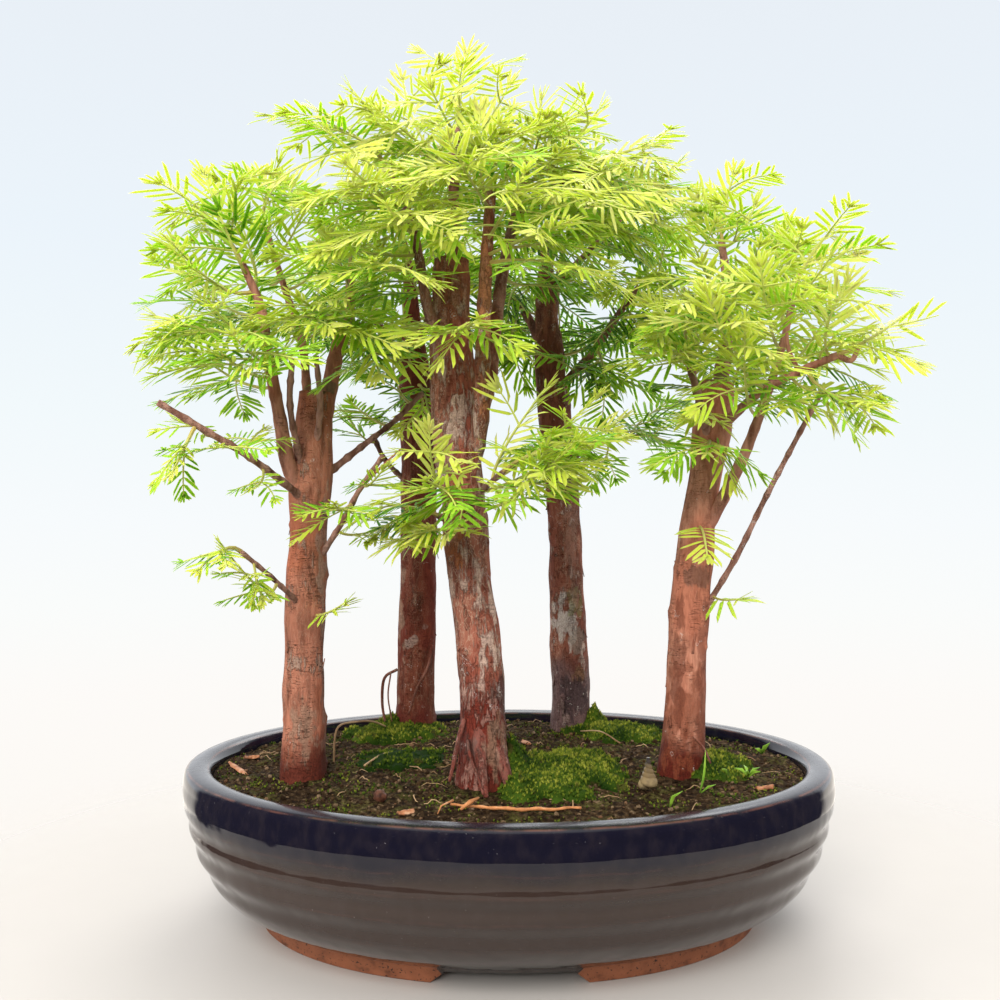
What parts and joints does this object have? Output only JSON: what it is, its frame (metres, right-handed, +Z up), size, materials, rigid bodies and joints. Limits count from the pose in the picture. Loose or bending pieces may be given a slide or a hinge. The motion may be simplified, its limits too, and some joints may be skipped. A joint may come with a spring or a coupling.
{
  "type": "dawn redwood bonsai forest",
  "caption": "Group planting of dawn redwood trees with feathery fronds in mossy soil, in a low oval glazed pot on four feet.",
  "frame": {"origin": "bottom centre of the whole object's bounding box, on the surface that the pot stands on", "axes": "+X to the viewer's right along the pot's long side, +Y away from the viewer, +Z up"},
  "size_m": [0.2956, 0.2106, 0.3599],
  "materials": {
    "glaze": "glossy blue black glaze; the feet are bare orange brown clay",
    "earth": "moist dark granular potting soil",
    "screen_plastic": "plain black plastic mesh",
    "moss": "short dense green moss",
    "bark": "reddish brown fibrous bark with pale flakes",
    "young_needles": "soft bright yellow green needles, slightly waxy",
    "deep_needles": "soft fresh green needles, slightly waxy",
    "shell": "horn coloured, glossy",
    "dry_twig": "dry orange brown"
  },
  "bodies": {
    "root": {"pot": "glaze", "soil": "earth", "drain_screen_left": "screen_plastic", "drain_screen_right": "screen_plastic", "moss_centre": "moss", "moss_left": "moss", "moss_right": "moss", "moss_back_left": "moss", "moss_back_right": "moss", "tree_left": "bark", "tree_back_left": "bark", "tree_centre": "bark", "tree_back_right": "bark", "tree_right": "bark", "leafy_stem_left_1": "young_needles", "leafy_stem_left_2": "young_needles", "leafy_stem_left_3": "young_needles", "leafy_stem_left_4": "young_needles", "leafy_stem_left_5": "young_needles", "leafy_stem_left_6": "young_needles", "leafy_stem_left_7": "young_needles", "leafy_stem_left_8": "young_needles", "leafy_stem_left_9": "young_needles", "leafy_stem_left_10": "young_needles", "leafy_stem_left_11": "young_needles", "leafy_stem_left_12": "young_needles", "leafy_stem_back_left_1": "deep_needles", "leafy_stem_back_left_2": "deep_needles", "leafy_stem_back_left_3": "deep_needles", "leafy_stem_back_left_4": "deep_needles", "leafy_stem_back_left_5": "deep_needles", "leafy_stem_centre_1": "young_needles", "leafy_stem_centre_2": "young_needles", "leafy_stem_centre_3": "young_needles", "leafy_stem_centre_4": "young_needles", "leafy_stem_centre_5": "young_needles", "leafy_stem_centre_6": "young_needles", "leafy_stem_centre_7": "young_needles", "leafy_stem_centre_8": "young_needles", "leafy_stem_centre_9": "young_needles", "leafy_stem_centre_10": "young_needles", "leafy_stem_centre_11": "young_needles", "leafy_stem_centre_12": "young_needles", "leafy_stem_centre_13": "young_needles", "leafy_stem_back_right_1": "deep_needles", "leafy_stem_back_right_2": "deep_needles", "leafy_stem_back_right_3": "deep_needles", "leafy_stem_back_right_4": "deep_needles", "leafy_stem_back_right_5": "deep_needles", "leafy_stem_back_right_6": "deep_needles", "leafy_stem_right_1": "young_needles", "leafy_stem_right_2": "young_needles", "leafy_stem_right_3": "young_needles", "leafy_stem_right_4": "young_needles", "leafy_stem_right_5": "young_needles", "leafy_stem_right_6": "young_needles", "leafy_stem_right_7": "young_needles", "leafy_stem_right_8": "young_needles", "snail_shell": "shell", "fallen_twig": "dry_twig"}
  },
  "joints": []
}
